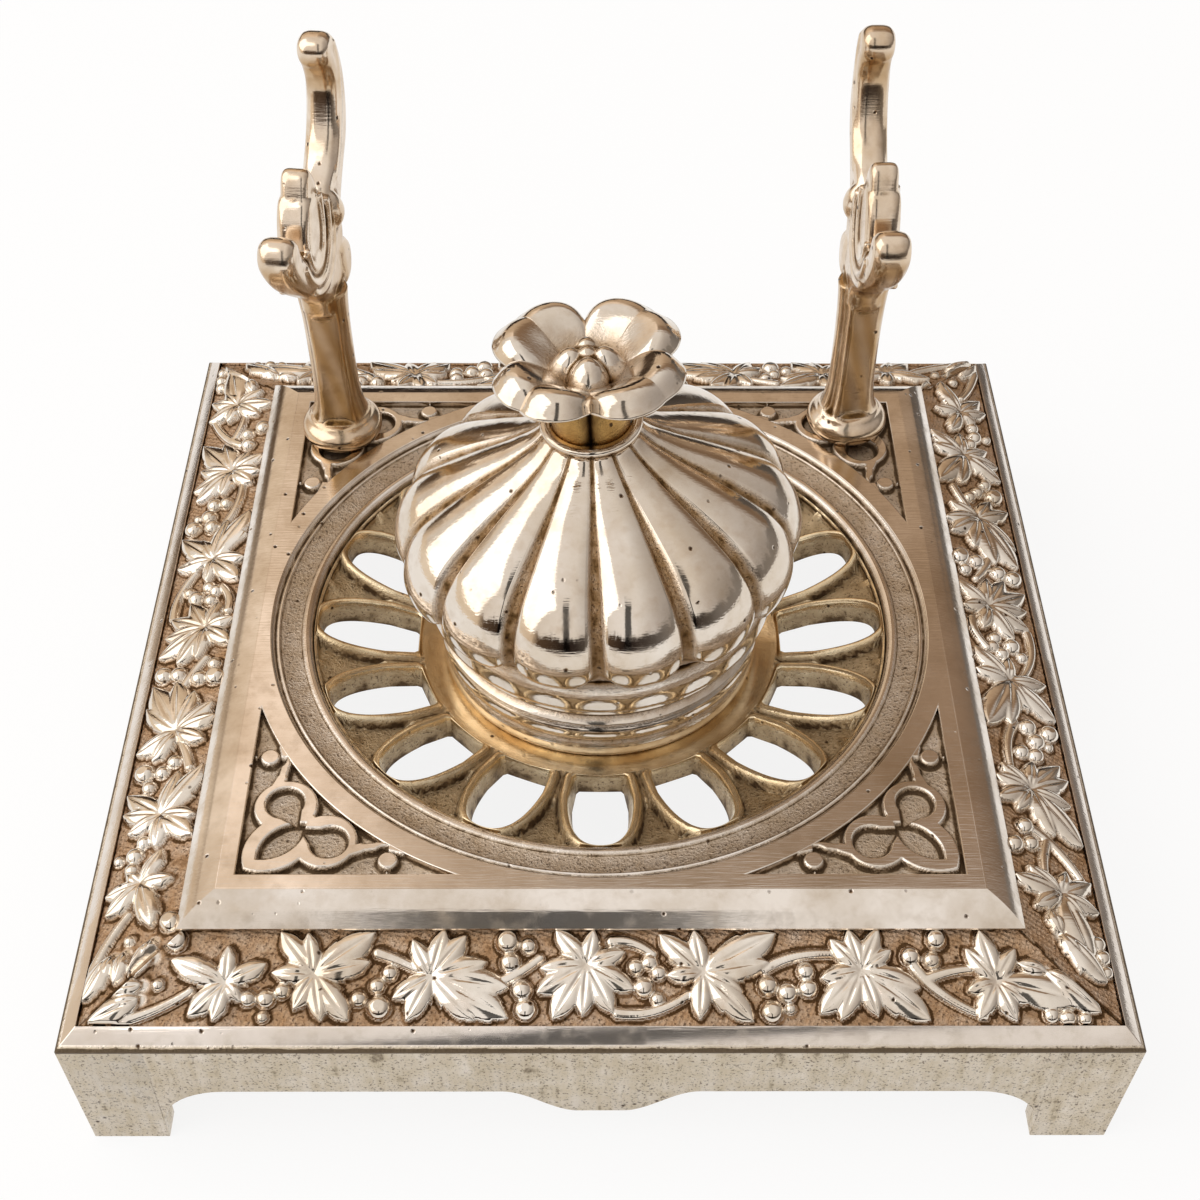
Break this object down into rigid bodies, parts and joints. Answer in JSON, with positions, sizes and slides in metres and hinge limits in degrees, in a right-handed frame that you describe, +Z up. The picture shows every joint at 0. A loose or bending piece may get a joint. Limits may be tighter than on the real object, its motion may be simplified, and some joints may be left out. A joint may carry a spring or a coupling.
{
  "type": "desk inkstand",
  "caption": "Square silver-plated desk inkstand on bracket feet: vine border, pierced rosette, central well with a lobed hinged lid, and a pen rest at each rear corner.",
  "frame": {"origin": "on the floor under the middle of the square base", "axes": "+Z up, -Y to the front, +X to the right as seen from the front; the pen rests stand at the back (+Y)"},
  "size_m": [0.15, 0.15, 0.104],
  "materials": {
    "apron": "silver plate with a dull, finely pitted face and polished rim",
    "border": "silver plate, bright leaves over a tan gritted ground",
    "panel": "polished silver plate with a warm worn tint",
    "rosette": "gilt brass, polished ribs and gritted recesses",
    "polished": "polished silver plate with fine scratches",
    "pen_rest": "silver plate with tarnished brassy hollows",
    "stem_brass": "polished brass",
    "washer_brass": "plain brass",
    "steel": "plain steel",
    "liner_glass": "clear glass"
  },
  "bodies": {
    "stand": {"base_frame": "apron", "vine_border_front": "border", "vine_border_left": "border", "vine_border_right": "border", "vine_border_rear": "border", "panel": "panel", "rosette": "rosette", "panel_screw_front_left": "steel", "panel_screw_front_right": "steel", "panel_screw_rear_left": "steel", "panel_screw_rear_right": "steel", "well_body": "polished", "well_screw": "steel", "well_washer": "washer_brass", "ink_liner": "liner_glass", "well_hinge": "polished", "hinge_pin": "steel", "pen_rest_left": "pen_rest", "pen_rest_right": "pen_rest", "pen_rest_washer_left": "washer_brass", "pen_rest_washer_right": "washer_brass", "pen_rest_nut_left": "washer_brass", "pen_rest_nut_right": "washer_brass"},
    "lid": {"lid_hinge": "polished", "lid_band": "polished", "lid_dome": "polished", "stem_collar": "polished", "finial_stem": "stem_brass", "finial_petals": "polished", "finial_bud": "polished", "finial_nut": "washer_brass"}
  },
  "joints": [
    {"name": "lid_hinge_turn", "type": "hinge", "parent": "stand", "child": "lid", "pos_m": [0, 0.0294, 0.0395], "axis": [-1, 0, 0], "range_deg": [0, 100]}
  ]
}
